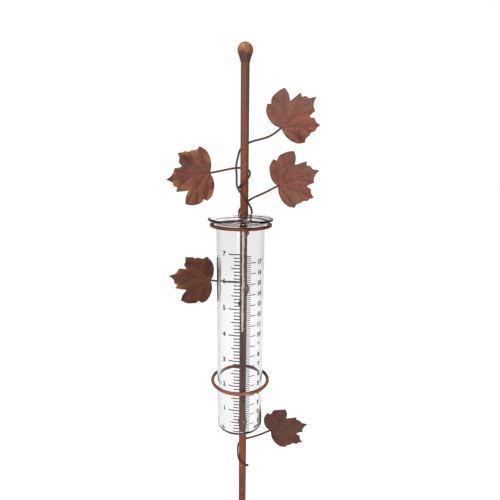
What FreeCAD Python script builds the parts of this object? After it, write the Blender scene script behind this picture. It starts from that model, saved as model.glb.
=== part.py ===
import FreeCAD, Part
import math
import os

# Manual rain gauge: a glass measuring tube hanging by its flared rim in two wire rings,
# welded to a garden stake that is trimmed with five stamped leaves on wrapped wire stems.
# Frame: origin on the stake's axis at the ground line, +Z up, -Y towards the tube, +X to the right.
# All sizes are in millimetres.

V = FreeCAD.Vector

# ---- driving dimensions ----------------------------------------------------
ZERO_HEIGHT = 217.0      # the tube's zero mark above the ground line

STAKE_R = 4.1            # round stake above the ground line
SHANK_R = 3.45           # the buried end is drawn slightly slimmer
SHOULDER_TOP = 4.0       # a short shoulder above the ground line leads down to the shank
SHANK_BOTTOM = -160.0
STAKE_TIP = -180.0
BALL_R = 7.4             # ball finial
BALL_HEIGHT = ZERO_HEIGHT + 358.9
SOCKET_DEPTH = 3.4       # how far the stake runs up into the ball

RING_WIRE_R = 1.65       # wire of both holder rings
RING_R = 27.3            # to the middle of the wire
RING_Y = -34.7
RINGS = {                # height of the middle, and how far the ring leans down at the front
    "lower": {"height": ZERO_HEIGHT + 45.0, "lean": 2.0},
    "upper": {"height": ZERO_HEIGHT + 200.7, "lean": 0.0},
}
RING_WELD_R = 2.9

TUBE_Y = -37.8
TUBE_R = 22.2            # outside of the glass
TUBE_WALL = 2.0
TUBE_FLOOR = 1.8         # glass below the zero mark
FOOT_ROUND = 2.6
FLARE_HEIGHT = 200.7     # above the zero mark, where the neck starts to open
RIM_R = 28.9             # to the middle of the rim bead
RIM_HEIGHT = 206.4
RIM_BEAD_R = 1.15
NUB_R = 5.5              # gather of glass in the middle of the floor
NUB_HEIGHT = 2.6
NUB_TOP_R = 1.2

STEM_WIRE_R = 1.0        # wire of the leaf stems
STEM_GAP = 0.2           # between a wrapped stem and the stake
TACK_R = 1.35            # tack weld at each stem's tail
BRAZE_R = 1.7            # braze spot behind each leaf

LEAF_THICK = 0.9
LEAF_BOWL_R = 260.0      # each leaf is stamped into a shallow bowl that opens to the front
LEAF_BOWL_Y = 18.0       # middle of the bowl, up from the stem

# One leaf's outline, seen from the front with the middle lobe up and the stem at the origin.
# Each run goes from one corner to the next: two points are a straight edge, more are a curve.
LEAF_RUNS = [
    [(0, 0), (-7.6, -2.0), (-15.2, -1.2), (-22.6, 2.2), (-26.9, 7.7)],
    [(-26.9, 7.7), (-24.5, 10.6)],
    [(-24.5, 10.6), (-27.6, 14.0), (-28.7, 18.7), (-28.4, 24.2), (-26.6, 29.6)],
    [(-26.6, 29.6), (-20.8, 28.6), (-16.4, 26.3), (-13.9, 24.8), (-13.6, 29.4), (-13.1, 36.6)],
    [(-13.1, 36.6), (-8.9, 34.7)],
    [(-8.9, 34.7), (-7.5, 37.6), (-3.5, 38.6)],
    [(-3.5, 38.6), (0, 43.9)],
    [(0, 43.9), (2.2, 39.4), (5.4, 36.0)],
    [(5.4, 36.0), (9.5, 34.4)],
    [(9.5, 34.4), (9.6, 30.2), (10.4, 26.9), (14.6, 29.3)],
    [(14.6, 29.3), (18.3, 27.9)],
    [(18.3, 27.9), (23.4, 28.6)],
    [(23.4, 28.6), (23.4, 24.6), (24.3, 21.5)],
    [(24.3, 21.5), (23.2, 18.2), (24.2, 14.9)],
    [(24.2, 14.9), (24.0, 10.2), (26.8, 6.6)],
    [(26.8, 6.6), (22.8, 1.6), (16.2, -1.6), (7.8, -2.0), (0, 0)],
]

# Each leaf: its stem point (x, y, height above the zero mark), then the three turns that set it:
# turn spins it in its own plane, nod tips its face up or down, swing turns its face sideways.
LEAVES = {
    "upper_right": {"at": (34.9, 0.0, 288.8), "turn": -44.4, "nod": 29.9, "swing": 1.8},
    "upper_left": {"at": (-33.7, 0.0, 246.4), "turn": 98.5, "nod": -0.4, "swing": 20.4},
    "middle_right": {"at": (32.8, 0.0, 233.9), "turn": -67.0, "nod": 18.4, "swing": -8.8},
    "lower_left": {"at": (-34.2, 0.0, 135.6), "turn": 83.4, "nod": 7.9, "swing": 3.2},
    "bottom_right": {"at": (31.2, 0.0, -36.4), "turn": -67.3, "nod": 14.3, "swing": -5.3},
}

# Each stem after its leaf: free points (x, y, height), then its wrap around the stake as
# (angle from the front towards +X, how far it stands off the stake, height), ending at its tack weld.
STEMS = {
    "upper_right": {
        "free": [(23.0, 0.6, 281.4)],
        "wrap": [(125, 0.2, 275.9), (180, 0.2, 273.4), (232, 0.2, 269.4), (259, 1.3, 262.6),
                 (277, 2.8, 253.3), (283, 2.4, 243.4), (300, 2.7, 234.6), (340, 1.1, 226.6),
                 (385, 0.1, 220.6), (430, 0.8, 215.0), (446, 2.4, 208.8), (446, 1.9, 203.2),
                 (450, 1.0, 199.0)],
    },
    "upper_left": {
        "free": [(-20.0, 0.6, 249.2)],
        "wrap": [(235, 0.3, 251.4), (180, 0.1, 250.6), (125, 0.1, 248.6), (90, 0.1, 245.6),
                 (45, 0.1, 241.8), (0, 0.1, 238.2), (-45, 0.1, 234.4), (-85, 0.2, 230.0),
                 (-135, 0.1, 227.2), (-165, 0.1, 226.0)],
    },
    "middle_right": {
        "free": [(19.0, 0.6, 227.2)],
        "wrap": [(120, 0.3, 219.9), (160, 0.1, 217.2), (210, 0.1, 213.2), (262, 0.1, 208.4),
                 (282, 0.1, 203.4), (330, 0.1, 197.0), (375, 0.1, 192.6), (445, 0.2, 187.0),
                 (495, 0.1, 184.4), (525, 0.1, 183.2)],
    },
    "lower_left": {
        "free": [(-20.0, 0.6, 135.4)],
        "wrap": [(235, 0.3, 134.8), (180, 0.2, 133.6), (130, 0.2, 131.6), (90, 0.4, 128.8),
                 (45, 0.2, 124.4), (0, 0.1, 119.8), (-45, 0.1, 115.6), (-90, 0.1, 111.8),
                 (-130, 0.1, 109.4), (-165, 0.1, 107.8)],
    },
    "bottom_right": {
        "free": [(18.0, 0.6, -42.1), (10.5, 1.6, -45.7)],
        "wrap": [(125, 0.3, -48.8), (180, 0.1, -51.8), (235, 0.1, -55.4), (270, 0.1, -61.8),
                 (305, 0.1, -68.4), (345, 0.1, -73.2), (395, 0.1, -77.0), (430, 0.2, -79.6),
                 (450, 1.0, -81.0)],
    },
}
STEM_UNDER_LEAF = 5.0    # how far a stem runs on behind its leaf

TOP_OF_STAKE = BALL_HEIGHT - BALL_R + SOCKET_DEPTH


# ---- helpers ----------------------------------------------------------------
def save(name, shape):
    shape.exportStep(os.path.join("parts", name + ".step"))


def solid_of(shape):
    """The largest solid of a shape."""
    return max(shape.Solids, key=lambda s: s.Volume)


def turned(points_and_arcs):
    """A solid of revolution about Z from edges that close on the axis."""
    wire = Part.Wire(points_and_arcs)
    return Part.Face(wire).revolve(V(0, 0, 0), V(0, 0, 1), 360)


def line(a, b):
    return Part.makeLine(V(a[0], 0, a[1]), V(b[0], 0, b[1]))


def arc(a, middle, b):
    return Part.Arc(V(a[0], 0, a[1]), V(middle[0], 0, middle[1]), V(b[0], 0, b[1])).toShape()


def stake_cylinder(grow=0.0):
    return Part.makeCylinder(STAKE_R + grow, TOP_OF_STAKE, V(0, 0, 0))


# ---- stake, ball and their weld ----------------------------------------------
def make_stake():
    outline = [
        (0, STAKE_TIP), (0.6, STAKE_TIP), (SHANK_R, SHANK_BOTTOM), (SHANK_R, 0),
        (STAKE_R, SHOULDER_TOP), (STAKE_R, TOP_OF_STAKE), (0, TOP_OF_STAKE), (0, STAKE_TIP),
    ]
    return turned([line(a, b) for a, b in zip(outline, outline[1:])])


def make_ball():
    ball = Part.makeSphere(BALL_R, V(0, 0, BALL_HEIGHT))
    return ball.cut(stake_cylinder())


def make_ball_weld():
    low = BALL_HEIGHT - BALL_R - 3.6
    cone = Part.makeCone(STAKE_R + 0.15, 6.7, 7.5, V(0, 0, low))
    return cone.cut(Part.makeSphere(BALL_R, V(0, 0, BALL_HEIGHT))).cut(stake_cylinder())


# ---- holder rings -------------------------------------------------------------
def make_ring(ring):
    lean = math.radians(ring["lean"])
    axis = V(0, -math.sin(lean), math.cos(lean))
    return Part.makeTorus(RING_R, RING_WIRE_R, V(0, RING_Y, ring["height"]), axis)


def make_ring_weld(ring):
    """A lump of weld that fills the gap between the stake's front and the ring's back."""
    gap_middle = (-STAKE_R + RING_Y + RING_R + RING_WIRE_R) / 2
    back = ring["height"] + RING_R * math.sin(math.radians(ring["lean"]))
    lump = Part.makeSphere(RING_WELD_R, V(0, gap_middle - 0.3, back))
    return solid_of(lump.cut(stake_cylinder()).cut(make_ring(ring)))


# ---- glass tube ----------------------------------------------------------------
def make_tube():
    inner = TUBE_R - TUBE_WALL
    bend = 2.0
    half = math.sqrt(0.5)
    foot = -TUBE_FLOOR
    neck = FLARE_HEIGHT
    centre_r = TUBE_R + bend
    inside_bend = bend + TUBE_WALL - 0.2
    rim_low = (RIM_R - 0.7, RIM_HEIGHT - 0.91)
    rim_out = (RIM_R + RIM_BEAD_R, RIM_HEIGHT)
    rim_top = (RIM_R, RIM_HEIGHT + RIM_BEAD_R)
    edges = [
        line((0, foot), (TUBE_R - FOOT_ROUND, foot)),
        arc((TUBE_R - FOOT_ROUND, foot),
            (TUBE_R - FOOT_ROUND * (1 - half), foot + FOOT_ROUND * (1 - half)),
            (TUBE_R, foot + FOOT_ROUND)),
        line((TUBE_R, foot + FOOT_ROUND), (TUBE_R, neck)),
        arc((TUBE_R, neck), (centre_r - bend * half, neck + bend * half), (centre_r, neck + bend)),
        line((centre_r, neck + bend), rim_low),
        arc(rim_low, (RIM_R + RIM_BEAD_R * 0.85, RIM_HEIGHT - RIM_BEAD_R * 0.53), rim_out),
        arc(rim_out, (RIM_R + RIM_BEAD_R * half, RIM_HEIGHT + RIM_BEAD_R * half), rim_top),
        line(rim_top, (centre_r, neck + inside_bend)),
        arc((centre_r, neck + inside_bend),
            (inner + (centre_r - inner) * 0.32, neck + inside_bend * 0.74), (inner, neck)),
        line((inner, neck), (inner, 1.6)),
        arc((inner, 1.6), (inner - 0.5, 0.45), (inner - 1.8, 0)),
        line((inner - 1.8, 0), (NUB_R, 0)),
        arc((NUB_R, 0), (NUB_R * 0.68, NUB_HEIGHT * 0.78), (NUB_TOP_R, NUB_HEIGHT)),
        line((NUB_TOP_R, NUB_HEIGHT), (0, NUB_HEIGHT)),
        line((0, NUB_HEIGHT), (0, foot)),
    ]
    tube = turned(edges)
    tube.translate(V(0, TUBE_Y, ZERO_HEIGHT))
    return tube


# ---- leaves ---------------------------------------------------------------------
def leaf_placement(leaf):
    """Stand the flat leaf up facing -Y, then give it its turn, nod and swing."""
    x, y, height = leaf["at"]
    spin = FreeCAD.Rotation(V(0, 0, 1), leaf["turn"])
    stand = FreeCAD.Rotation(V(1, 0, 0), 90)
    nod = FreeCAD.Rotation(V(1, 0, 0), leaf["nod"])
    swing = FreeCAD.Rotation(V(0, 0, 1), leaf["swing"])
    return FreeCAD.Placement(V(x, y, ZERO_HEIGHT + height), swing * nod * stand * spin)


def run_edge(run):
    points = [V(x, y, -20) for x, y in run]
    if len(points) == 2:
        return Part.makeLine(points[0], points[1])
    curve = Part.BSplineCurve()
    curve.interpolate(points)
    return curve.toShape()


def bowl_rise(x, y):
    """How far the bowl has risen at (x, y), measured from its height at the stem."""
    def sag(r2):
        return LEAF_BOWL_R - math.sqrt(LEAF_BOWL_R ** 2 - r2)
    return sag(x ** 2 + (y - LEAF_BOWL_Y) ** 2) - sag(LEAF_BOWL_Y ** 2)


def make_leaf(leaf):
    blank = Part.Face(Part.Wire([run_edge(run) for run in LEAF_RUNS])).extrude(V(0, 0, 40))
    centre = V(0, LEAF_BOWL_Y, bowl_rise(0, LEAF_BOWL_Y) + LEAF_BOWL_R)
    bowl = Part.makeSphere(LEAF_BOWL_R + LEAF_THICK, centre).cut(Part.makeSphere(LEAF_BOWL_R, centre))
    stamped = solid_of(blank.common(bowl))
    stamped.Placement = leaf_placement(leaf)
    return stamped


# ---- stems -----------------------------------------------------------------------
def around_stake(angle, off, height):
    r = STAKE_R + STEM_GAP + STEM_WIRE_R + off
    a = math.radians(angle)
    return V(r * math.sin(a), -r * math.cos(a), ZERO_HEIGHT + height)


def behind_leaf(leaf, up):
    """A point on the wire's middle where it lies against the leaf's back, 'up' the middle lobe."""
    z = bowl_rise(0, up) - LEAF_THICK - STEM_WIRE_R * 0.8
    return leaf_placement(leaf).multVec(V(0, up, z))


def make_stem(name):
    leaf = LEAVES[name]
    points = [behind_leaf(leaf, STEM_UNDER_LEAF), behind_leaf(leaf, 0.0)]
    points += [V(x, y, ZERO_HEIGHT + height) for x, y, height in STEMS[name]["free"]]
    points += [around_stake(*step) for step in STEMS[name]["wrap"]]
    curve = Part.BSplineCurve()
    curve.interpolate(points)
    path = Part.Wire([curve.toShape()])
    start = curve.value(curve.FirstParameter)
    heading = curve.tangent(curve.FirstParameter)[0]
    section = Part.Wire([Part.makeCircle(STEM_WIRE_R, start, heading)])
    return solid_of(path.makePipeShell([section], True, False))


def make_tack(name):
    """A small weld where the stem's tail meets the stake."""
    angle, off, height = STEMS[name]["wrap"][-1]
    tail = around_stake(angle, off, height)
    inward = V(-tail.x, -tail.y, 0)
    inward.normalize()
    centre = tail + inward * (0.5 + off * 0.6)
    return Part.makeSphere(TACK_R + off * 0.25, centre)


def make_braze(name):
    """A flat spot of braze that holds the end of the stem to the leaf's back."""
    spot = Part.makeSphere(BRAZE_R, V(0, 0, 0))
    leaf = LEAVES[name]
    up = STEM_UNDER_LEAF - 1.0
    z = bowl_rise(0, up) - LEAF_THICK - 0.9
    spot.translate(leaf_placement(leaf).multVec(V(0, up, z)))
    return solid_of(spot.cut(make_leaf(leaf)))


# ---- write every piece ---------------------------------------------------------
os.makedirs("parts", exist_ok=True)

save("stake_rod", make_stake())
save("finial_ball", make_ball())
save("finial_weld", make_ball_weld())
save("glass_tube", make_tube())

for place, ring in RINGS.items():
    save(place + "_ring", make_ring(ring))
    save(place + "_ring_weld", make_ring_weld(ring))

for place, leaf in LEAVES.items():
    save("leaf_" + place, make_leaf(leaf))
    save("stem_" + place, make_stem(place))
    save("tack_" + place, make_tack(place))
    save("braze_" + place, make_braze(place))
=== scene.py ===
import math

import bmesh
import bpy
from bpy.props import FloatProperty, FloatVectorProperty, IntProperty, PointerProperty
from bpy.types import Operator, Panel, PropertyGroup
from mathutils import Matrix, Vector, noise
from mathutils.geometry import delaunay_2d_cdt
from mathutils.kdtree import KDTree


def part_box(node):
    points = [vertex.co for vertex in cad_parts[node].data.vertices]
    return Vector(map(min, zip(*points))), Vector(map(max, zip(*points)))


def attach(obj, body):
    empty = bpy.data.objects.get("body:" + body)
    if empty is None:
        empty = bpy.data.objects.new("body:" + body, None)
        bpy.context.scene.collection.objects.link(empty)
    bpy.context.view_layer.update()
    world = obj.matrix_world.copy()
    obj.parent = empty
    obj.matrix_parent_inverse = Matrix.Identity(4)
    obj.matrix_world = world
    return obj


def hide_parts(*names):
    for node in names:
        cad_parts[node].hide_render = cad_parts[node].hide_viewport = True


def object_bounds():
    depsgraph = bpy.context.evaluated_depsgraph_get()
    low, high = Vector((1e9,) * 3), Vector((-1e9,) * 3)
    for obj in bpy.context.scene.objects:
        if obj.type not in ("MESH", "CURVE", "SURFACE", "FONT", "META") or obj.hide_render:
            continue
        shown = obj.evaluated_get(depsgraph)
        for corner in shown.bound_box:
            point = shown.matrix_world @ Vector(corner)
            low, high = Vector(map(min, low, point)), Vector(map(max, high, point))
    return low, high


bl_info = {
    "name": "Leaf Stake Rain Gauge",
    "version": (1, 0, 0),
    "blender": (4, 5, 0),
    "location": "View3D > Sidebar > Rain Gauge",
    "description": "A glass rain gauge on a rusted garden stake with stamped leaves",
    "category": "Object",
}

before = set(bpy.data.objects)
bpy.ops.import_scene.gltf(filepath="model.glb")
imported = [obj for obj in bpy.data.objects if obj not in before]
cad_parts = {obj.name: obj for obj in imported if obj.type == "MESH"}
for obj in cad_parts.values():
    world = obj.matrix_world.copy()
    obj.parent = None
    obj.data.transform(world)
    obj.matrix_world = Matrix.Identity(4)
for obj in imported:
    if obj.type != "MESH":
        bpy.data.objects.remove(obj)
CAD_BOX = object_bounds()
MM = 0.001

# ---- where the frame puts things --------------------------------------------------

TUBE_FLOOR = 1.8          # mm of glass below the scales' zero mark
TUBE_LOW, TUBE_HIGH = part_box("glass_tube")
TUBE_X = (TUBE_LOW.x + TUBE_HIGH.x) / 2
TUBE_Y = (TUBE_LOW.y + TUBE_HIGH.y) / 2
ZERO_MARK = TUBE_LOW.z + TUBE_FLOOR * MM

# ---- sizes the pieces share, in millimetres ---------------------------------------

STAKE_R = 4.1
RING_WIRE_R = 1.65
TUBE_OUTER = 22.2
TUBE_INNER = 20.2
NECK_START = 200.7        # height above zero where the glass begins to flare
INCH = 25.4
CENTIMETRE = 10.0
LEAF_MIDDLE = 18.0        # the bowl's centre, up the leaf from its stem
LEAF_SCALE = 0.996        # keeps the turned border inside the sheet's CAD outline
LEAF_BACK = 0.7           # share of the sheet's thickness between front and back

# ---- how uneven the worked metal is ------------------------------------------------

DENTS_PER_METRE = 260.0   # along a ring's wire
LUMP_DENTS = 1.6          # across a weld lump's radius
COLLAR_DENTS = 1.7        # round the cone of weld under the ball
WAVES_PER_METRE = 85.0    # slow waves over a leaf, and how high they are in mm
WAVE_HEIGHT = 0.45
RIPPLES_PER_METRE = 210.0
RIPPLE_HEIGHT = 0.12

# ---- leaves ------------------------------------------------------------------------

# Where each leaf's stem end sits, in millimetres from the stake's axis and the zero mark,
# and its turn in its own plane, nod and swing in degrees.
LEAF_PLACES = {
    "upper_right": {"at": (34.9, 0.0, 288.8), "turn": -44.4, "nod": 29.9, "swing": 1.8},
    "upper_left": {"at": (-33.7, 0.0, 246.4), "turn": 98.5, "nod": -0.4, "swing": 20.4},
    "middle_right": {"at": (32.8, 0.0, 233.9), "turn": -67.0, "nod": 18.4, "swing": -8.8},
    "lower_left": {"at": (-34.2, 0.0, 135.6), "turn": 83.4, "nod": 7.9, "swing": 3.2},
    "bottom_right": {"at": (31.2, 0.0, -36.4), "turn": -67.3, "nod": 14.3, "swing": -5.3},
}

# The outline as smooth runs between sharp corners, in millimetres from the stem end.
LEAF_RUNS = [
    [(0, 0), (-7.6, -2.0), (-15.2, -1.2), (-22.6, 2.2), (-26.9, 7.7)],
    [(-26.9, 7.7), (-24.5, 10.6)],
    [(-24.5, 10.6), (-27.6, 14.0), (-28.7, 18.7), (-28.4, 24.2), (-26.6, 29.6)],
    [(-26.6, 29.6), (-20.8, 28.6), (-16.4, 26.3), (-13.9, 24.8), (-13.6, 29.4), (-13.1, 36.6)],
    [(-13.1, 36.6), (-8.9, 34.7)],
    [(-8.9, 34.7), (-7.5, 37.6), (-3.5, 38.6)],
    [(-3.5, 38.6), (0, 43.9)],
    [(0, 43.9), (2.2, 39.4), (5.4, 36.0)],
    [(5.4, 36.0), (9.5, 34.4)],
    [(9.5, 34.4), (9.6, 30.2), (10.4, 26.9), (14.6, 29.3)],
    [(14.6, 29.3), (18.3, 27.9)],
    [(18.3, 27.9), (23.4, 28.6)],
    [(23.4, 28.6), (23.4, 24.6), (24.3, 21.5)],
    [(24.3, 21.5), (23.2, 18.2), (24.2, 14.9)],
    [(24.2, 14.9), (24.0, 10.2), (26.8, 6.6)],
    [(26.8, 6.6), (22.8, 1.6), (16.2, -1.6), (7.8, -2.0), (0, 0)],
]

# The pressed veins' routes, in the same measure as the outline.
LEAF_VEINS = [
    [(0.0, 1.0), (0.4, 14.0), (0.2, 28.0), (0.0, 42.0)],
    [(0.0, 1.0), (-7.0, 10.0), (-16.0, 19.5), (-26.0, 27.5)],
    [(0.0, 1.0), (7.5, 10.0), (14.5, 18.5), (22.5, 25.5)],
    [(0.0, 1.0), (-9.0, 3.4), (-18.0, 5.6), (-26.5, 8.4)],
    [(0.0, 1.0), (9.0, 3.0), (18.0, 4.6), (26.0, 6.4)],
    [(0.4, 18.0), (-4.5, 25.0), (-9.5, 33.0)],
    [(0.4, 18.0), (4.0, 25.0), (8.2, 32.0)],
    [(-11.5, 15.0), (-20.0, 15.8), (-28.5, 16.5)],
    [(11.5, 14.6), (18.0, 15.6), (24.6, 16.2)],
]


# ---- settings a user would change --------------------------------------------------


class GaugeSizes(PropertyGroup):
    """Sizes of the leaves and the print, and how finely the meshes are divided"""

    leaf_thickness: FloatProperty(
        name="Leaf thickness", description="Thickness of the leaves' sheet metal",
        default=0.9 * MM, min=0.3 * MM, max=2.0 * MM, unit="LENGTH")
    leaf_bowl: FloatProperty(
        name="Leaf bowl radius", description="Radius of the shallow bowl each leaf is stamped to",
        default=260.0 * MM, min=80.0 * MM, max=900.0 * MM, unit="LENGTH")
    vein_depth: FloatProperty(
        name="Vein depth", description="How deep the veins are pressed",
        default=1.05 * MM, min=0.0, max=2.0 * MM, unit="LENGTH")
    leaf_grid: FloatProperty(
        name="Leaf mesh step", description="Distance between mesh points on a leaf",
        default=0.85 * MM, min=0.4 * MM, max=3.0 * MM, unit="LENGTH")
    tick_width: FloatProperty(
        name="Inch tick width", description="Printed width of a mark on the inch scale",
        default=1.02 * MM, min=0.1 * MM, max=1.2 * MM, unit="LENGTH")
    fine_tick_width: FloatProperty(
        name="Centimetre tick width",
        description="Printed width of a mark on the centimetre scale",
        default=0.78 * MM, min=0.1 * MM, max=1.2 * MM, unit="LENGTH")
    numeral_height: FloatProperty(
        name="Numeral height", description="Printed height of the inch scale's numbers",
        default=4.8 * MM, min=2.0 * MM, max=8.0 * MM, unit="LENGTH")
    tube_sides: IntProperty(
        name="Tube segments", description="Mesh segments round the glass tube",
        default=144, min=24, max=360)


def colour_property(name, words, default):
    return FloatVectorProperty(
        name=name, description=words, subtype="COLOR", size=3, default=default, min=0.0, max=1.0)


class GaugeColours(PropertyGroup):
    """Colours of the rust, the ink and the studio floor"""

    rust_dark: colour_property("Dark rust", "Oldest rust and crevices", (0.045, 0.018, 0.012))
    rust_red: colour_property("Red rust", "Main rust colour of the leaves", (0.185, 0.064, 0.050))
    rust_orange: colour_property("Orange rust", "Fresh rust patches", (0.40, 0.135, 0.04))
    ring_copper: colour_property("Ring rust", "Rust of the holder rings", (0.22, 0.064, 0.029))
    stem_dark: colour_property("Stem", "Dark wire of the stems", (0.085, 0.040, 0.028))
    ink: colour_property("Ink", "Printed scale", (0.012, 0.012, 0.014))
    floor: colour_property("Floor", "Studio floor", (0.95, 0.95, 0.95))


def sizes():
    return bpy.context.scene.rain_gauge_sizes


def colours():
    return bpy.context.scene.rain_gauge_colours


# ---- mesh helpers ------------------------------------------------------------------


def new_piece(name, bm, material, smooth=True):
    """An object made from `bm`, which is used up."""
    mesh = bpy.data.meshes.new(name)
    bmesh.ops.recalc_face_normals(bm, faces=bm.faces)
    bm.to_mesh(mesh)
    bm.free()
    if smooth:
        mesh.shade_smooth()
    mesh.materials.append(material)
    piece = bpy.data.objects.new(name, mesh)
    bpy.context.scene.collection.objects.link(piece)
    return piece


def finish_node(name, material):
    """Give a CAD node that stays visible its material."""
    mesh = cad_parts[name].data
    mesh.materials.clear()
    mesh.materials.append(material)
    mesh.shade_smooth()


def ring_of_verts(bm, centre, radius, sides):
    """Vertices on a level circle, from +X round to the left."""
    turns = [2 * math.pi * k / sides for k in range(sides)]
    return [bm.verts.new(centre + Vector((radius * math.cos(a), radius * math.sin(a), 0)))
            for a in turns]


def skin_rows(bm, low, high):
    """Quads between two rings of vertices, or triangles where one of them is a point."""
    sides = max(len(low), len(high))
    for k in range(sides):
        m = (k + 1) % sides
        if len(low) == 1:
            bm.faces.new((low[0], high[m], high[k]))
        elif len(high) == 1:
            bm.faces.new((low[k], low[m], high[0]))
        else:
            bm.faces.new((low[k], low[m], high[m], high[k]))


def smooth_route(points, steps):
    """A Catmull-Rom curve through the points, `steps` pieces between each pair."""
    padded = [points[0] * 2 - points[1]] + points + [points[-1] * 2 - points[-2]]
    route = []
    for a, b, c, d in zip(padded, padded[1:], padded[2:], padded[3:]):
        for i in range(steps):
            t = i / steps
            route.append(0.5 * ((2 * b) + (c - a) * t + (2 * a - 5 * b + 4 * c - d) * t * t
                                + (3 * b - a - 3 * c + d) * t ** 3))
    route.append(points[-1].copy())
    return route


def closed_wire_mesh(bm, route, radius, sides, rough, seed):
    """A round wire along a closed route, dented inwards by up to `rough`."""
    count = len(route)
    tangent = (route[1] - route[0]).normalized()
    normal = tangent.orthogonal().normalized()
    rows = []
    for i, point in enumerate(route):
        tangent = (route[(i + 1) % count] - route[i - 1]).normalized()
        normal = (normal - tangent * normal.dot(tangent)).normalized()
        across = tangent.cross(normal)
        row = []
        for k in range(sides):
            a = 2 * math.pi * k / sides
            out = normal * math.cos(a) + across * math.sin(a)
            dent = noise.noise(point * DENTS_PER_METRE + out * 0.9 + Vector((seed, 0, 0)))
            row.append(bm.verts.new(point + out * (radius - rough * (0.5 + 0.5 * dent))))
        rows.append(row)
    last, first = rows[-1], rows[0]

    def mismatch(shift):
        return sum((last[k].co - first[(k + shift) % sides].co).length for k in range(0, sides, 3))

    best = min(range(sides), key=mismatch)
    for low, high in zip(rows, rows[1:]):
        skin_rows(bm, low, high)
    skin_rows(bm, last, first[best:] + first[:best])


def lump_mesh(bm, centre, size, rough, seed, subdivisions=4):
    """A lump of weld: a ball squeezed to `size` and dented inwards."""
    made = bmesh.ops.create_icosphere(bm, subdivisions=subdivisions, radius=1.0)
    for vert in made["verts"]:
        out = vert.co.normalized()
        dent = noise.fractal(out * LUMP_DENTS + Vector((seed, 2 * seed, 0)), 1.0, 2.0, 3)
        keep = 1.0 - rough * (0.5 + 0.5 * max(-1.0, min(1.0, dent)))
        vert.co = centre + Vector((out.x * size.x, out.y * size.y, out.z * size.z)) * keep


# ---- materials ---------------------------------------------------------------------


MIX_SOCKETS = (0, 6, 7)     # a colour Mix node's factor, A and B
MIX_RESULT = 2


class NodeBench:
    """Short ways to lay out a material's nodes."""

    def __init__(self, name):
        self.material = bpy.data.materials.new(name)
        self.material.use_nodes = True
        self.nodes = self.material.node_tree.nodes
        self.links = self.material.node_tree.links
        self.shader = self.nodes["Principled BSDF"]
        self.place = self.add("ShaderNodeTexCoord").outputs["Object"]

    def add(self, kind, **values):
        node = self.nodes.new(kind)
        for key, value in values.items():
            setattr(node, key, value)
        return node

    def link(self, source, target):
        self.links.new(source, target)

    def noise(self, scale, detail, rough, stretch=None):
        """Cloudy noise, `scale` to the metre, drawn out along an axis by `stretch`."""
        node = self.add("ShaderNodeTexNoise")
        node.inputs["Scale"].default_value = scale
        node.inputs["Detail"].default_value = detail
        node.inputs["Roughness"].default_value = rough
        source = self.place
        if stretch:
            mapping = self.add("ShaderNodeMapping")
            mapping.inputs["Scale"].default_value = stretch
            self.link(source, mapping.inputs["Vector"])
            source = mapping.outputs["Vector"]
        self.link(source, node.inputs["Vector"])
        return node.outputs["Fac"]

    def spots(self, scale):
        """Distance from scattered points, `scale` to the metre."""
        node = self.add("ShaderNodeTexVoronoi")
        node.inputs["Scale"].default_value = scale
        self.link(self.place, node.inputs["Vector"])
        return node.outputs["Distance"]

    def ramp(self, source, stops):
        """A colour ramp; each stop is its place and a colour or a grey."""
        node = self.add("ShaderNodeValToRGB")
        elements = node.color_ramp.elements
        while len(elements) < len(stops):
            elements.new(0.5)
        for element, (place, colour) in zip(elements, stops):
            element.position = place
            rgb = colour if hasattr(colour, "__len__") else (colour, colour, colour)
            element.color = (*rgb, 1.0)
        self.link(source, node.inputs["Fac"])
        return node.outputs["Color"]

    def mix(self, amount, a, b, blend="MIX"):
        """Two colours mixed; each of the three may be a socket or a plain value."""
        node = self.add("ShaderNodeMix", data_type="RGBA", blend_type=blend)
        for place, value in zip(MIX_SOCKETS, (amount, a, b)):
            socket = node.inputs[place]
            if hasattr(value, "is_output"):
                self.link(value, socket)
            elif hasattr(value, "__len__"):
                socket.default_value = (*value, 1.0)
            else:
                socket.default_value = value
        return node.outputs[MIX_RESULT]

    def attribute(self, name):
        node = self.add("ShaderNodeAttribute", attribute_name=name)
        return node.outputs["Fac"]

    def bump(self, source, strength, distance, under=None):
        node = self.add("ShaderNodeBump")
        node.inputs["Strength"].default_value = strength
        node.inputs["Distance"].default_value = distance
        self.link(source, node.inputs["Height"])
        if under is not None:
            self.link(under, node.inputs["Normal"])
        return node.outputs["Normal"]


def tint(colour, factor):
    """The colour made darker or lighter."""
    return tuple(min(1.0, c * factor) for c in colour)


def blend_colour(a, b, t):
    return tuple(x * (1 - t) + y * t for x, y in zip(a, b))


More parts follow.
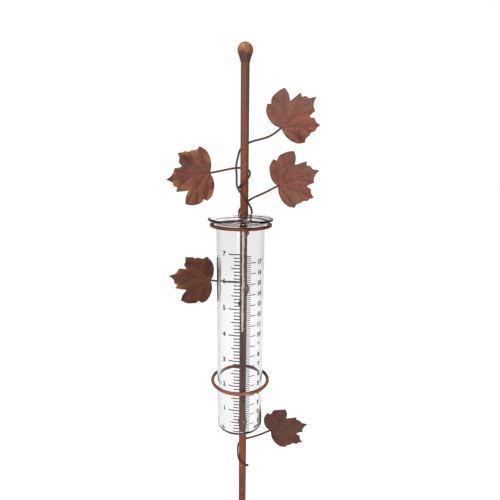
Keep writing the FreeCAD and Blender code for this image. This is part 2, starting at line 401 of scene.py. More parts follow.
def rusted_metal(name, dark, main, fresh, grain=1.0, patch=0.55, edge=False, metal=0.25,
                 rough=(0.5, 0.85), streak=None, worn=0.6):
    """Rusted steel: a mottled main colour, fresh rust in patches, dark pits and a fine grain.

    A higher `grain` is finer. A lower `patch` gives more fresh rust. `streak` draws the rust
    out along an axis. `worn` is how grey-brown the weathered parts get. `edge` is for the
    leaves, which carry their border, fresh patches and vein valleys as mesh attributes: the
    border gets painted shade, the vein valleys painted shade and their shoulders a painted
    highlight.
    """
    bench = NodeBench(name)
    broad = bench.noise(55.0 * grain, 5.0, 0.62, streak)
    mottled = bench.ramp(broad, [(0.30, dark), (0.44, main),
                                 (0.60, blend_colour(main, fresh, 0.12)), (0.74, main)])
    patches = bench.ramp(bench.noise(95.0 * grain, 6.0, 0.68),
                         [(patch, 0.0), (patch + 0.12, 1.0)])
    colour = bench.mix(patches, mottled, fresh)
    weathered = bench.ramp(bench.noise(30.0 * grain, 4.0, 0.6, streak),
                           [(0.46, 0.0), (0.60, worn)])
    grey = sum(main) / 3
    brown = (grey * 1.5, grey * 1.02, grey * 0.78)
    colour = bench.mix(weathered, colour, blend_colour(main, brown, 0.8))
    speckle = bench.ramp(bench.noise(1300.0 * grain, 3.0, 0.7),
                         [(0.36, 0.42), (0.52, 1.0), (0.70, 1.45)])
    colour = bench.mix(0.8, colour, speckle, "MULTIPLY")
    pits = bench.ramp(bench.spots(620.0 * grain), [(0.10, 0.25), (0.30, 1.0)])
    colour = bench.mix(0.45, colour, pits, "MULTIPLY")
    if edge:
        # Painted shade: the colour darkens towards the leaf's turned-back border.
        border = bench.ramp(bench.attribute("edge"), [(0.0, 0.0), (0.55, 0.25), (1.0, 0.9)])
        colour = bench.mix(border, colour, tint(dark, 0.8))
        colour = bench.mix(bench.attribute("fresh"), colour, fresh)
        # Painted shade down the pressed vein valleys, and a painted highlight on their shoulders.
        vein_painted_light = bench.ramp(bench.attribute("vein_painted_light"),
                            [(0.0, 1.0), (0.35, 1.16), (0.7, 0.82), (1.0, 0.72)])
        colour = bench.mix(1.0, colour, vein_painted_light, "MULTIPLY")
    bench.link(colour, bench.shader.inputs["Base Color"])
    shine = bench.ramp(bench.noise(420.0 * grain, 4.0, 0.6),
                       [(0.35, rough[0]), (0.65, rough[1])])
    bench.link(shine, bench.shader.inputs["Roughness"])
    bench.shader.inputs["Metallic"].default_value = metal
    bench.shader.inputs["Specular IOR Level"].default_value = 0.15
    coarse = bench.bump(bench.noise(330.0 * grain, 5.0, 0.65), 0.5, 0.35 * MM)
    fine = bench.bump(bench.noise(1900.0 * grain, 3.0, 0.7), 0.35, 0.12 * MM, coarse)
    bench.link(fine, bench.shader.inputs["Normal"])
    return bench.material


def clear_glass():
    """Clear blown glass, very slightly grey, with slow waviness up the wall."""
    bench = NodeBench("clear_glass")
    shader = bench.shader
    shader.inputs["Base Color"].default_value = (0.892, 0.890, 0.896, 1.0)
    shader.inputs["Roughness"].default_value = 0.0
    shader.inputs["IOR"].default_value = 1.48
    shader.inputs["Specular Tint"].default_value = (0.4, 0.4, 0.4, 1.0)
    shader.inputs["Transmission Weight"].default_value = 1.0
    wave = bench.bump(bench.noise(22.0, 2.0, 0.4, (1.0, 1.0, 0.18)), 0.10, 0.9 * MM)
    bench.link(wave, shader.inputs["Normal"])
    return bench.material


def printed_ink():
    """Black screen-printed ink, a little uneven."""
    bench = NodeBench("printed_ink")
    ink = tuple(colours().ink)
    worn = bench.ramp(bench.noise(900.0, 3.0, 0.6), [(0.3, ink), (0.75, tint(ink, 2.2))])
    bench.link(worn, bench.shader.inputs["Base Color"])
    bench.link(bench.ramp(bench.noise(500.0, 2.0, 0.5), [(0.3, 0.35), (0.7, 0.55)]),
               bench.shader.inputs["Roughness"])
    grain = bench.bump(bench.noise(1500.0, 2.0, 0.6), 0.3, 0.02 * MM)
    bench.link(grain, bench.shader.inputs["Normal"])
    return bench.material


def studio_floor():
    """Pale matt board."""
    bench = NodeBench("studio_floor")
    pale = tuple(colours().floor)
    bench.link(bench.ramp(bench.noise(3.0, 2.0, 0.5), [(0.3, tint(pale, 0.99)), (0.7, pale)]),
               bench.shader.inputs["Base Color"])
    bench.shader.inputs["Roughness"].default_value = 0.9
    bench.shader.inputs["Specular IOR Level"].default_value = 0.1
    return bench.material


# ---- stake, ball and their weld ----------------------------------------------------

COLLAR_SIDES = 40
COLLAR_STEPS = 12


class RAINGAUGE_OT_stake(Operator):
    """Finish the stake and its ball, and the weld between them"""

    bl_idname = "rain_gauge.stake"
    bl_label = "Stake and ball"

    def ball_rust(self, centre, radius):
        """Rust on the ball with painted shade: lighter on the crown and darkened towards the weld
        below it.
        """
        skin = rusted_metal("rusted_ball", (0.13, 0.055, 0.032), (0.34, 0.145, 0.062),
                            (0.46, 0.215, 0.085), grain=1.3, patch=0.56, rough=(0.42, 0.75),
                            worn=0.15)
        tree = skin.node_tree
        shader = tree.nodes["Principled BSDF"]
        colour = shader.inputs["Base Color"].links[0].from_socket
        place = tree.nodes.new("ShaderNodeTexCoord")
        parts = tree.nodes.new("ShaderNodeSeparateXYZ")
        tree.links.new(place.outputs["Object"], parts.inputs[0])
        # Painted shade: by height, the rust colour is darkened down to 0.38 on the ball's
        # underside.
        height = tree.nodes.new("ShaderNodeMapRange")
        height.interpolation_type = "SMOOTHSTEP"
        tree.links.new(parts.outputs["Z"], height.inputs["Value"])
        height.inputs["From Min"].default_value = centre.z - 0.85 * radius
        height.inputs["From Max"].default_value = centre.z + 0.30 * radius
        height.inputs["To Min"].default_value = 0.38
        height.inputs["To Max"].default_value = 1.0
        shade = tree.nodes.new("ShaderNodeMix")
        shade.data_type = "RGBA"
        shade.blend_type = "MULTIPLY"
        factor, rust, depth = MIX_SOCKETS
        shade.inputs[factor].default_value = 1.0
        tree.links.new(colour, shade.inputs[rust])
        tree.links.new(height.outputs["Result"], shade.inputs[depth])
        tree.links.new(shade.outputs[MIX_RESULT], shader.inputs["Base Color"])
        return skin

    def collar_mesh(self, low, high):
        """The weld's cone, from the stake's skin out to the ball, dented more towards the ball."""
        bm = bmesh.new()
        stake_r = STAKE_R * MM
        bottom_gap = 0.12 * MM
        flare = high.x - stake_r - 0.2 * MM
        rows = []
        for i in range(COLLAR_STEPS + 1):
            t = i / COLLAR_STEPS
            z = low.z + (high.z - low.z) * t
            row = []
            for k in range(COLLAR_SIDES):
                a = 2 * math.pi * k / COLLAR_SIDES
                out = Vector((math.cos(a), math.sin(a), 0))
                dent = noise.noise(Vector((out.x, out.y, z * 500)) * COLLAR_DENTS)
                r = stake_r + bottom_gap + flare * t ** 1.15 * 0.97
                r -= 0.25 * MM * (0.5 + 0.5 * dent) * t
                row.append(bm.verts.new(out * r + Vector((0, 0, z))))
            rows.append(row)
        for lower, upper in zip(rows, rows[1:]):
            skin_rows(bm, lower, upper)
        bm.faces.new(rows[0])
        bm.faces.new(rows[-1])
        return bm

    def execute(self, context):
        c = colours()
        stake = rusted_metal("rusted_stake", tint(c.rust_dark, 1.7), (0.182, 0.054, 0.028),
                             (0.34, 0.110, 0.038), grain=1.2, patch=0.58,
                             streak=(1.9, 1.9, 0.18), worn=0.55)
        finish_node("stake_rod", stake)
        weld = rusted_metal("finial_weld_rust", tint(c.rust_dark, 1.1), (0.105, 0.050, 0.036),
                            (0.20, 0.085, 0.045), grain=1.4)
        low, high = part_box("finial_ball")
        radius = (high.x - low.x) / 2
        centre = Vector(((low.x + high.x) / 2, (low.y + high.y) / 2, high.z - radius))
        bm = bmesh.new()
        lump_mesh(bm, centre, Vector((radius, radius, radius)), 0.012, 3.1, 6)
        ball = new_piece("ball_finial", bm, self.ball_rust(centre, radius))
        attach(ball, "stand")
        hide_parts("finial_ball")
        collar = new_piece("ball_weld", self.collar_mesh(*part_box("finial_weld")), weld)
        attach(collar, "stand")
        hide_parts("finial_weld")
        return {"FINISHED"}


# ---- holder rings ------------------------------------------------------------------

RING_STEPS = 180
WIRE_SIDES = 24
# Each ring, the seed of its dents and a factor on all its rust colours, which draws the upper ring
# darker.
RINGS = (("upper", 0.0, 0.62), ("lower", 7.0, 1.0))


class RAINGAUGE_OT_rings(Operator):
    """Bend the two wire rings and weld them to the stake"""

    bl_idname = "rain_gauge.rings"
    bl_label = "Holder rings"

    def execute(self, context):
        c = colours()
        weld = rusted_metal("ring_weld_rust", tint(c.rust_dark, 1.0), (0.16, 0.06, 0.035),
                            (0.30, 0.12, 0.05), grain=1.6)
        for place, seed, bright in RINGS:
            rust = rusted_metal(place + "_rusted_wire", tint((0.12, 0.04, 0.022), bright),
                                tint(c.ring_copper, bright), tint((0.52, 0.20, 0.085), bright),
                                grain=1.5, patch=0.56, metal=0.35, rough=(0.35, 0.65))
            bm = bmesh.new()
            closed_wire_mesh(bm, self.ring_route(*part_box(place + "_ring")), RING_WIRE_R * MM,
                             WIRE_SIDES, 0.10 * MM, seed)
            ring = new_piece(place + "_holder_ring", bm, rust)
            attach(ring, "stand")
            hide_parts(place + "_ring")
            low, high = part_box(place + "_ring_weld")
            half = (high - low) / 2
            bm = bmesh.new()
            lump_mesh(bm, (low + high) / 2, Vector((half.x, half.y, half.z * 0.8)),
                      0.28, 1.7 + seed)
            lump = new_piece(place + "_ring_bead", bm, weld)
            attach(lump, "stand")
            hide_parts(place + "_ring_weld")
        return {"FINISHED"}

    def ring_route(self, low, high):
        """The wire's centre line, leaning as far down at the front as the ring's box is tall."""
        wire_r = RING_WIRE_R * MM
        reach = (high - low) / 2 - Vector((wire_r, wire_r, wire_r))
        centre = (low + high) / 2
        turns = [2 * math.pi * i / RING_STEPS for i in range(RING_STEPS)]
        return [centre + Vector((reach.x * math.sin(a), -reach.y * math.cos(a),
                                 -reach.z * math.cos(a))) for a in turns]


# ---- stamped leaves ----------------------------------------------------------------

CURVE_STEPS = 8           # pieces between two points of the outline
VEIN_STEPS = 12
VEIN_POINTS = 90          # points set along each vein to measure distances from


def leaf_matrix(place):
    """From the flat stamping, tip up +Y, to its place beside the stake."""
    x, y, height = place["at"]
    spin = Matrix.Rotation(math.radians(place["turn"]), 4, "Z")
    stand = Matrix.Rotation(math.radians(90), 4, "X")
    nod = Matrix.Rotation(math.radians(place["nod"]), 4, "X")
    swing = Matrix.Rotation(math.radians(place["swing"]), 4, "Z")
    at = Vector((x * MM, y * MM, ZERO_MARK + height * MM))
    return Matrix.Translation(at) @ swing @ nod @ stand @ spin


def leaf_border(step):
    """The leaf's outline as closely spaced points, in metres."""
    border = []
    for run in LEAF_RUNS:
        points = [Vector((x * MM, y * MM, 0)) for x, y in run]
        route = smooth_route(points, CURVE_STEPS) if len(points) > 2 else points
        length = sum((b - a).length for a, b in zip(route, route[1:]))
        count = max(2, round(length / step))
        border += resample(route, count)[:-1]
    return [p.to_2d() for p in border]


def resample(route, count):
    """The route again as `count` equal pieces."""
    lengths = [0.0]
    for a, b in zip(route, route[1:]):
        lengths.append(lengths[-1] + (b - a).length)
    points = []
    j = 0
    for i in range(count + 1):
        want = lengths[-1] * i / count
        while j < len(route) - 2 and lengths[j + 1] < want:
            j += 1
        span = max(1e-12, lengths[j + 1] - lengths[j])
        points.append(route[j].lerp(route[j + 1], (want - lengths[j]) / span))
    return points


def is_inside(point, border):
    """Whether the flat point lies within the closed border."""
    inside = False
    for a, b in zip(border, border[1:] + border[:1]):
        if (a.y > point.y) != (b.y > point.y):
            if point.x < (b.x - a.x) * (point.y - a.y) / (b.y - a.y) + a.x:
                inside = not inside
    return inside


def fade(distance, width):
    """1 at no distance, falling off smoothly over `width` millimetres."""
    return math.exp(-(distance / (width * MM)) ** 2)


class LeafStamp:
    """The one stamping that every leaf is made with: mesh points, faces and relief."""

    def __init__(self):
        step = sizes().leaf_grid
        self.border = leaf_border(step)
        veins = []
        for vein in LEAF_VEINS:
            route = smooth_route([Vector((x * MM, y * MM, 0)) for x, y in vein], VEIN_STEPS)
            veins += resample(route, VEIN_POINTS)
        self.vein_tree = KDTree(len(veins))
        for i, p in enumerate(veins):
            self.vein_tree.insert(p, i)
        self.vein_tree.balance()
        self.edge_tree = KDTree(len(self.border))
        for i, p in enumerate(self.border):
            self.edge_tree.insert(p.to_3d(), i)
        self.edge_tree.balance()
        points = self.border + self.inner_points(step)
        n = len(self.border)
        edges = [(i, (i + 1) % n) for i in range(n)]
        verts, _, faces, _, _, _ = delaunay_2d_cdt(points, edges, [list(range(n))], 1, 1e-9)
        self.points = verts
        self.faces = faces

    def inner_points(self, step):
        """A staggered grid over the leaf, clear of its border."""
        inner = []
        low_x = min(p.x for p in self.border)
        high_x = max(p.x for p in self.border)
        low_y = min(p.y for p in self.border)
        high_y = max(p.y for p in self.border)
        row = 0
        y = low_y
        while y < high_y:
            x = low_x + (step / 2 if row % 2 else 0)
            while x < high_x:
                p = Vector((x, y))
                if is_inside(p, self.border) and self.edge_distance(p) > step * 0.55:
                    inner.append(p)
                x += step
            y += step * 0.87
            row += 1
        return inner

    def edge_distance(self, p):
        return self.edge_tree.find(p.to_3d())[2]

    def vein_distance(self, p):
        return self.vein_tree.find(p.to_3d())[2]

    def height(self, p, seed):
        """The front face's height: the bowl, then lobes puffed between the pressed veins,
        then the border turned back, then the sheet's own waves."""
        depth = sizes().vein_depth
        bowl_r = sizes().leaf_bowl
        mid = Vector((0, LEAF_MIDDLE * MM))
        rise = bowl_r - math.sqrt(bowl_r ** 2 - (p - mid).length_squared)
        rise_at_stem = bowl_r - math.sqrt(bowl_r ** 2 - mid.length_squared)
        z = rise - rise_at_stem
        from_vein = self.vein_distance(p)
        near_stem = min(1.0, p.length / (8 * MM))
        pillow = 1.0 - fade(from_vein, 2.6)
        z += depth * (pillow * 0.8 - fade(from_vein, 0.75) * 0.45) * near_stem
        z -= depth * 0.35 * fade(self.edge_distance(p), 1.9)
        wave = noise.noise(Vector((p.x * WAVES_PER_METRE + seed, p.y * WAVES_PER_METRE,
                                   seed * 0.7)))
        ripple = noise.noise(Vector((p.x * RIPPLES_PER_METRE - seed, p.y * RIPPLES_PER_METRE,
                                     seed)))
        away = min(1.0, p.length / (22 * MM))
        z += wave * WAVE_HEIGHT * MM * away + ripple * RIPPLE_HEIGHT * MM
        return z


class RAINGAUGE_OT_leaves(Operator):
    """Stamp the five leaves, with pressed veins, puffed lobes and turned edges"""

    bl_idname = "rain_gauge.leaves"
    bl_label = "Leaves"

    def execute(self, context):
        c = colours()
        stamp = LeafStamp()
        # For each leaf: main rust and fresh rust, both tinted lighter or darker as painted light
        # and shade for how the leaf faces the light, then patch level, and how lit its border is
        # with it.
        leaf_rust_with_painted_light = {
            "upper_right": (tint(c.rust_red, 1.25), c.rust_orange, 0.66, 0.12),
            "upper_left": (tint(c.rust_red, 0.85), c.rust_orange, 0.62, 0.95),
            "middle_right": (tint(c.rust_red, 1.05), c.rust_orange, 0.68, 0.08),
            "lower_left": (tint(c.rust_red, 0.40), tint(c.rust_orange, 0.8), 0.64, 0.6),
            "bottom_right": (tint(c.rust_red, 0.54), tint(c.rust_orange, 0.7), 0.70, 0.05),
        }
        for order, (place, at) in enumerate(LEAF_PLACES.items()):
            main, fresh, patch, lit = leaf_rust_with_painted_light[place]
            metal = rusted_metal("rusted_leaf_painted_light_" + place, tuple(c.rust_dark), main, tuple(fresh),
                                 patch=patch, edge=True, rough=(0.45, 0.8))
            leaf = self.stamp_leaf("stamped_leaf_" + place, stamp, leaf_matrix(at), metal,
                                   3.7 * order + 1.3, lit)
            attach(leaf, "stand")
            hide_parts("leaf_" + place)
        return {"FINISHED"}

    def stamp_leaf(self, name, stamp, matrix, metal, seed, lit):
        """One leaf with a front, a back and a border between them."""
        bm = bmesh.new()
        thick = sizes().leaf_thickness
        edge_painted_shade_layer = bm.verts.layers.float.new("edge")
        fresh_layer = bm.verts.layers.float.new("fresh")
        vein_painted_light_layer = bm.verts.layers.float.new("vein_painted_light")
        front, back = [], []
        for p in stamp.points:
            z = stamp.height(p, seed)
            from_edge = stamp.edge_distance(p)
            # Painted shade along the turned-back border, kept in the edge attribute.
            rim = fade(from_edge, 0.8)
            patch = noise.fractal(Vector((p.x * 60 + seed * 3, p.y * 60, seed)), 1.0, 2.1, 4)
            glow = lit * max(0.0, min(1.0, 2.2 * patch + 0.25)) * math.exp(-from_edge / (3.2 * MM))
            # Painted shade and highlight about the veins, set by nearness to them.
            vein_painted_light = fade(stamp.vein_distance(p), 0.55)
            for side, offset in ((front, 0.0), (back, -LEAF_BACK * thick)):
                vert = bm.verts.new((p.x * LEAF_SCALE, p.y * LEAF_SCALE, z + offset))
                vert[edge_painted_shade_layer] = rim
                vert[fresh_layer] = glow
                vert[vein_painted_light_layer] = vein_painted_light
                side.append(vert)
        for face in stamp.faces:
            bm.faces.new([front[i] for i in face])
            bm.faces.new([back[i] for i in reversed(face)])
        n = len(stamp.border)
        for i in range(n):
            j = (i + 1) % n
            bm.faces.new((front[i], back[i], back[j], front[j]))
        bmesh.ops.transform(bm, matrix=matrix, verts=bm.verts)
        leaf = new_piece(name, bm, metal)
        leaf.data.set_sharp_from_angle(angle=math.radians(50))
        return leaf


# ---- stems -------------------------------------------------------------------------


class RAINGAUGE_OT_stems(Operator):
    """Finish the wrapped wire stems with their tack welds and braze spots"""

    bl_idname = "rain_gauge.stems"
    bl_label = "Leaf stems"

    def execute(self, context):
        c = colours()
        wire = rusted_metal("stem_wire", tint(c.rust_dark, 0.7), tuple(c.stem_dark),
                            (0.16, 0.07, 0.04), grain=1.6, patch=0.6, rough=(0.45, 0.75))
        weld = rusted_metal("stem_weld_rust", tint(c.rust_dark, 0.9), (0.13, 0.05, 0.03),
                            (0.26, 0.10, 0.045), grain=1.6)
        for place in LEAF_PLACES:
            finish_node("stem_" + place, wire)
            for kind in ("tack_", "braze_"):
                low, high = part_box(kind + place)
                bm = bmesh.new()
                lump_mesh(bm, (low + high) / 2, (high - low) / 2, 0.25, 0.9 + len(place), 3)
                lump = new_piece(kind + "bead_" + place, bm, weld)
                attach(lump, "stand")
                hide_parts(kind + place)
        return {"FINISHED"}


# ---- glass tube --------------------------------------------------------------------

WALL_STEPS = 40


def arc_points(centre, radius, start, end, count):
    """Points round an arc of the section, between two angles in degrees."""
    turns = [math.radians(start + (end - start) * i / count) for i in range(count + 1)]
    return [(centre[0] + radius * math.cos(a), centre[1] + radius * math.sin(a)) for a in turns]


def tube_profile():
    """The glass wall's section as (radius, height above zero) in millimetres.

    It runs from the foot's middle, up the outside and over the rim, and down the inside
    to the floor's middle.
    """
    foot = [(0.0, -TUBE_FLOOR), (10.0, -TUBE_FLOOR)]
    foot += arc_points((19.6, 0.8), 2.6, -90, 0, 10)
    outside = [(TUBE_OUTER, NECK_START * i / WALL_STEPS) for i in range(1, WALL_STEPS)]
    neck = arc_points((24.2, NECK_START), 2.0, 180, 90, 10) + [(26.2, 204.1)]
    rim = arc_points((28.9, 206.4), 1.13, -127, 90, 20) + [(26.6, 206.0)]
    throat = arc_points((24.2, 200.9), 3.85, 90, 180, 12)[1:]
    inside = [(TUBE_INNER + 0.02, NECK_START - 199.0 * i / WALL_STEPS)
              for i in range(1, WALL_STEPS)]
    corner = arc_points((18.4, 1.8), 1.8, 0, -90, 8)
    gather = [(5.4, 0.01), (4.3, 0.10), (3.1, 0.22), (1.6, 0.31), (0.0, 0.34)]
    return foot + outside + neck + rim + throat + inside + corner + gather


class RAINGAUGE_OT_tube(Operator):
    """Blow the glass tube, with its rounded foot, flared neck and beaded rim"""

    bl_idname = "rain_gauge.tube"
    bl_label = "Glass tube"

    def execute(self, context):
        bm = bmesh.new()
        rows = []
        for r, z in tube_profile():
            at = Vector((TUBE_X, TUBE_Y, ZERO_MARK + z * MM))
            if r == 0:
                rows.append([bm.verts.new(at)])
            else:
                rows.append(ring_of_verts(bm, at, r * MM, sizes().tube_sides))
        for low, high in zip(rows, rows[1:]):
            skin_rows(bm, low, high)
        tube = new_piece("measuring_tube", bm, clear_glass())
        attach(tube, "tube")
        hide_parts("glass_tube")
        return {"FINISHED"}


# ---- printed scales ----------------------------------------------------------------

# Angles on the glass are in degrees from the front towards +X.
INK_PROUD = 0.04          # mm of ink standing on the glass
INCH_TICKS = {"from": 6.6, "inch": -23.0, "half": -16.0, "eighth": -10.2}
INCH_COUNT = 7
INCH_NUMERALS = -36.0
CM_TICKS = {"from": 13.4, "centimetre": 44.0, "fifth": 30.2}
CM_COUNT = 17
LAST_FIFTH = 88           # the centimetre scale runs three fifths past its last number
CM_NUMERALS = 57.0
BOLD = 0.05               # how much the letters are thickened, as a share of their size
CM_BOLD = 0.065
TICK_TURN = 2.0           # degrees between mesh points along a mark


def on_glass(angle, z, proud=INK_PROUD):
    """A point of the print, `z` millimetres above zero and `proud` off the glass."""
    r = (TUBE_OUTER + proud) * MM
    a = math.radians(angle)
    return Vector((TUBE_X + r * math.sin(a), TUBE_Y - r * math.cos(a), ZERO_MARK + z * MM))


def print_mark(bm, start, end, z, width):
    """One scale mark, following the glass between two angles."""
    count = max(2, round(abs(end - start) / TICK_TURN))
    top, bottom = z + width / 2, z - width / 2
    rows = []
    for i in range(count + 1):
        a = start + (end - start) * i / count
        corners = (on_glass(a, top), on_glass(a, bottom),
                   on_glass(a, bottom, 0.0), on_glass(a, top, 0.0))
        rows.append([bm.verts.new(corner) for corner in corners])
    for near, far in zip(rows, rows[1:]):
        skin_rows(bm, near, far)
    bm.faces.new(rows[0])
    bm.faces.new(rows[-1][::-1])


def print_text(bm, words, angle, z, height, bold):
    """Numbers or a unit, set in the built-in face and wrapped on the glass."""
    data = bpy.data.curves.new("set_" + words, "FONT")
    data.body = words
    data.align_x = "CENTER"
    data.align_y = "CENTER"
    data.size = 1.0
    data.offset = bold
    data.resolution_u = 4
    holder = bpy.data.objects.new("set_" + words, data)
    bpy.context.scene.collection.objects.link(holder)
    flat = bpy.data.meshes.new_from_object(holder)
    bpy.data.objects.remove(holder)
    bpy.data.curves.remove(data)
    top = max(v.co.y for v in flat.vertices)
    bottom = min(v.co.y for v in flat.vertices)
    middle = (top + bottom) / 2
    factor = height / (top - bottom)
    wrapped = []
    for v in flat.vertices:
        turn = math.degrees(v.co.x * factor / (TUBE_OUTER * MM))
        wrapped.append(bm.verts.new(on_glass(angle + turn, z + (v.co.y - middle) * factor / MM)))
    for face in flat.polygons:
        bm.faces.new([wrapped[i] for i in face.vertices])
    bpy.data.meshes.remove(flat)


class RAINGAUGE_OT_scale(Operator):
    """Print the inch scale on the left and the centimetre scale on the right"""

    bl_idname = "rain_gauge.scale"
    bl_label = "Printed scales"

    def execute(self, context):
        ink = printed_ink()
        self.place("inch_scale", self.inch_print(), ink)
        self.place("centimetre_scale", self.centimetre_print(), ink)
        return {"FINISHED"}

    def inch_print(self):
        """Marks every eighth of an inch, longer at the halves and longest at the numbers."""
        bm = bmesh.new()
        width = sizes().tick_width / MM
        height = sizes().numeral_height
        for eighth in range(INCH_COUNT * 8 + 1):
            if eighth % 8 == 0:
                reach = INCH_TICKS["inch"]
            elif eighth % 4 == 0:
                reach = INCH_TICKS["half"]
            else:
                reach = INCH_TICKS["eighth"]
            print_mark(bm, INCH_TICKS["from"], reach, eighth * INCH / 8, width)
        for inch in range(1, INCH_COUNT + 1):
            print_text(bm, str(inch), INCH_NUMERALS, inch * INCH, height, BOLD)
        print_text(bm, "in", -40.0, 4.6, height * 0.8, BOLD)
        return bm

    def centimetre_print(self):
        """Marks every two millimetres, longer at the numbers."""
        bm = bmesh.new()
        width = sizes().fine_tick_width / MM
        height = sizes().numeral_height
        for fifth in range(LAST_FIFTH + 1):
            reach = CM_TICKS["centimetre"] if fifth % 5 == 0 else CM_TICKS["fifth"]
            print_mark(bm, CM_TICKS["from"], reach, fifth * CENTIMETRE / 5, width)
        for centimetre in range(1, CM_COUNT + 1):
            print_text(bm, str(centimetre), CM_NUMERALS, centimetre * CENTIMETRE,
                       height * 0.96, CM_BOLD)
        print_text(bm, "cm", 52.0, 4.4, height * 0.62, BOLD)
        return bm

    def place(self, name, bm, ink):
        """Put one scale's print on the tube."""
        scale = new_piece(name, bm, ink, smooth=False)
        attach(scale, "tube")


# ---- studio ------------------------------------------------------------------------

FLOOR_R = 9.0             # metres
FLOOR_SIDES = 96
SUN_POWER = 3.1
SUN_SPREAD = 28.0         # degrees across, which keeps its shadows soft
SUN_DIRECTION = (0.45, 0.75, -0.95)
STRIP_COLOUR = (1.0, 0.94, 0.76)
BOUNCED = 0.42            # the room's light after it has met a matt surface
GLOSSED = 0.2             # and after a glossy one
WALL_GREY = 0.48          # how dim the room is far to the left and right

CAMERA_AT = (36.38, -430.3, 261.85)     # mm, measured up from the zero mark
CAMERA_YAW = 0.0700       # radians, as are the pitch and the roll
CAMERA_PITCH = 0.2108
CAMERA_ROLL = 0.0102
SENSOR_WIDTH = 36.0
CAMERA_LENS = 31.2048


def area_light(name, at, target, width, height, power, colour=(1.0, 1.0, 1.0)):
    """A rectangle of light hung at a point and aimed at another."""
    data = bpy.data.lights.new(name, "AREA")
    data.shape = "RECTANGLE"
    data.size = width
    data.size_y = height
    data.energy = power
    data.color = colour
    light = bpy.data.objects.new(name, data)
    light.location = at
    light.rotation_euler = (Vector(target) - Vector(at)).to_track_quat("-Z", "Y").to_euler()
    bpy.context.scene.collection.objects.link(light)


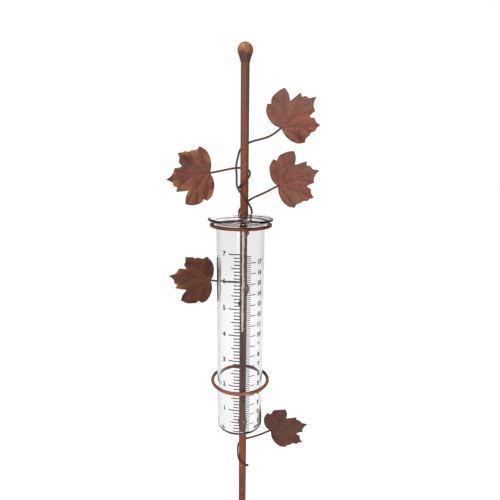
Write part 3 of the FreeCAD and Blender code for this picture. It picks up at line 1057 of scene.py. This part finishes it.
class RAINGAUGE_OT_studio(Operator):
    """Lay the pale floor, hang the soft lights and place the camera"""

    bl_idname = "rain_gauge.studio"
    bl_label = "Studio"

    def execute(self, context):
        scene = context.scene
        bm = bmesh.new()
        bm.faces.new(ring_of_verts(bm, Vector((0, 0, CAD_BOX[0].z)), FLOOR_R, FLOOR_SIDES))
        floor = new_piece("studio_floor", bm, studio_floor(), smooth=False)
        scene.world = self.white_room()
        scene.view_settings.view_transform = "Standard"
        sun = bpy.data.lights.new("soft_sun", "SUN")
        sun.energy = SUN_POWER
        sun.angle = math.radians(SUN_SPREAD)
        lamp = bpy.data.objects.new("soft_sun", sun)
        lamp.rotation_euler = Vector(SUN_DIRECTION).to_track_quat("-Z", "Y").to_euler()
        scene.collection.objects.link(lamp)
        area_light("strip_light", (0.182, -0.61, 0.205), (0.0, -0.04, 0.32), 0.125, 0.24, 1.9,
                   STRIP_COLOUR)
        area_light("back_light", (0.3, 1.4, 1.2), (0.0, 0.0, 0.36), 1.0, 1.0, 6.0)
        self.place_camera(scene)
        return {"FINISHED"}

    def white_room(self):
        """Plain white all round, dimmer as a light than as a backdrop, with greyer sides."""
        world = bpy.data.worlds.new("studio_world")
        world.use_nodes = True
        nodes, links = world.node_tree.nodes, world.node_tree.links
        room = nodes["Background"]
        room.inputs["Color"].default_value = (1.0, 1.0, 1.0, 1.0)
        path = nodes.new("ShaderNodeLightPath")

        def step(output, low, high):
            level = nodes.new("ShaderNodeMapRange")
            links.new(path.outputs[output], level.inputs["Value"])
            level.inputs["To Min"].default_value = low
            level.inputs["To Max"].default_value = high
            return level.outputs["Result"]

        def combine(a, b, operation):
            node = nodes.new("ShaderNodeMath")
            node.operation = operation
            links.new(a, node.inputs[0])
            links.new(b, node.inputs[1])
            return node.outputs[0]

        strength = combine(step("Diffuse Depth", 1.0, BOUNCED), step("Glossy Depth", 1.0, GLOSSED),
                           "MULTIPLY")
        walls = combine(path.outputs["Is Camera Ray"], self.side_walls(nodes, links), "MAXIMUM")
        links.new(combine(strength, walls, "MULTIPLY"), room.inputs["Strength"])
        return world

    def side_walls(self, nodes, links):
        """The room falls off to grey well to the left and right, which draws the glass's edges."""
        way = nodes.new("ShaderNodeTexCoord")
        parts = nodes.new("ShaderNodeSeparateXYZ")
        links.new(way.outputs["Generated"], parts.inputs[0])
        across = nodes.new("ShaderNodeMath")
        across.operation = "ABSOLUTE"
        links.new(parts.outputs["X"], across.inputs[0])
        wall = nodes.new("ShaderNodeMapRange")
        wall.interpolation_type = "SMOOTHSTEP"
        links.new(across.outputs[0], wall.inputs["Value"])
        wall.inputs["From Min"].default_value = 0.60
        wall.inputs["From Max"].default_value = 0.90
        wall.inputs["To Min"].default_value = 1.0
        wall.inputs["To Max"].default_value = WALL_GREY
        return wall.outputs["Result"]

    def place_camera(self, scene):
        """In front of the gauge, a little above its rim and looking slightly down."""
        level = math.cos(CAMERA_PITCH)
        ahead = Vector((-math.sin(CAMERA_YAW) * level, math.cos(CAMERA_YAW) * level,
                        -math.sin(CAMERA_PITCH)))
        right = Vector((math.cos(CAMERA_YAW), math.sin(CAMERA_YAW), 0.0))
        up = right.cross(ahead)
        right, up = (right * math.cos(CAMERA_ROLL) + up * math.sin(CAMERA_ROLL),
                     up * math.cos(CAMERA_ROLL) - right * math.sin(CAMERA_ROLL))
        data = bpy.data.cameras.new("studio_camera")
        data.sensor_width = SENSOR_WIDTH
        data.lens = CAMERA_LENS
        data.clip_start = 0.01
        data.clip_end = 50.0
        camera = bpy.data.objects.new("studio_camera", data)
        turn = Matrix((right, up, -ahead)).transposed()
        x, y, height = (length * MM for length in CAMERA_AT)
        camera.matrix_world = Matrix.Translation((x, y, ZERO_MARK + height)) @ turn.to_4x4()
        scene.collection.objects.link(camera)
        scene.camera = camera


# ---- panel and registration --------------------------------------------------------

PIECES = (RAINGAUGE_OT_stake, RAINGAUGE_OT_rings, RAINGAUGE_OT_leaves, RAINGAUGE_OT_stems,
          RAINGAUGE_OT_tube, RAINGAUGE_OT_scale, RAINGAUGE_OT_studio)


class RAINGAUGE_PT_panel(Panel):
    """Lists the gauge's pieces and settings"""

    bl_label = "Rain Gauge"
    bl_idname = "RAINGAUGE_PT_panel"
    bl_space_type = "VIEW_3D"
    bl_region_type = "UI"
    bl_category = "Rain Gauge"

    def draw(self, context):
        layout = self.layout
        for piece in PIECES:
            layout.operator(piece.bl_idname)
        for group in (context.scene.rain_gauge_sizes, context.scene.rain_gauge_colours):
            box = layout.box()
            for name in group.__annotations__:
                box.prop(group, name)


CLASSES = (GaugeSizes, GaugeColours, *PIECES, RAINGAUGE_PT_panel)


def register():
    for item in CLASSES:
        bpy.utils.register_class(item)
    bpy.types.Scene.rain_gauge_sizes = PointerProperty(type=GaugeSizes)
    bpy.types.Scene.rain_gauge_colours = PointerProperty(type=GaugeColours)


def unregister():
    del bpy.types.Scene.rain_gauge_colours
    del bpy.types.Scene.rain_gauge_sizes
    for item in reversed(CLASSES):
        bpy.utils.unregister_class(item)


def main():
    """Build the gauge."""
    register()
    bpy.ops.rain_gauge.studio()
    bpy.ops.rain_gauge.stake()
    bpy.ops.rain_gauge.rings()
    bpy.ops.rain_gauge.leaves()
    bpy.ops.rain_gauge.stems()
    bpy.ops.rain_gauge.tube()
    bpy.ops.rain_gauge.scale()
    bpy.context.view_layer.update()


if __name__ == "__main__":
    main()
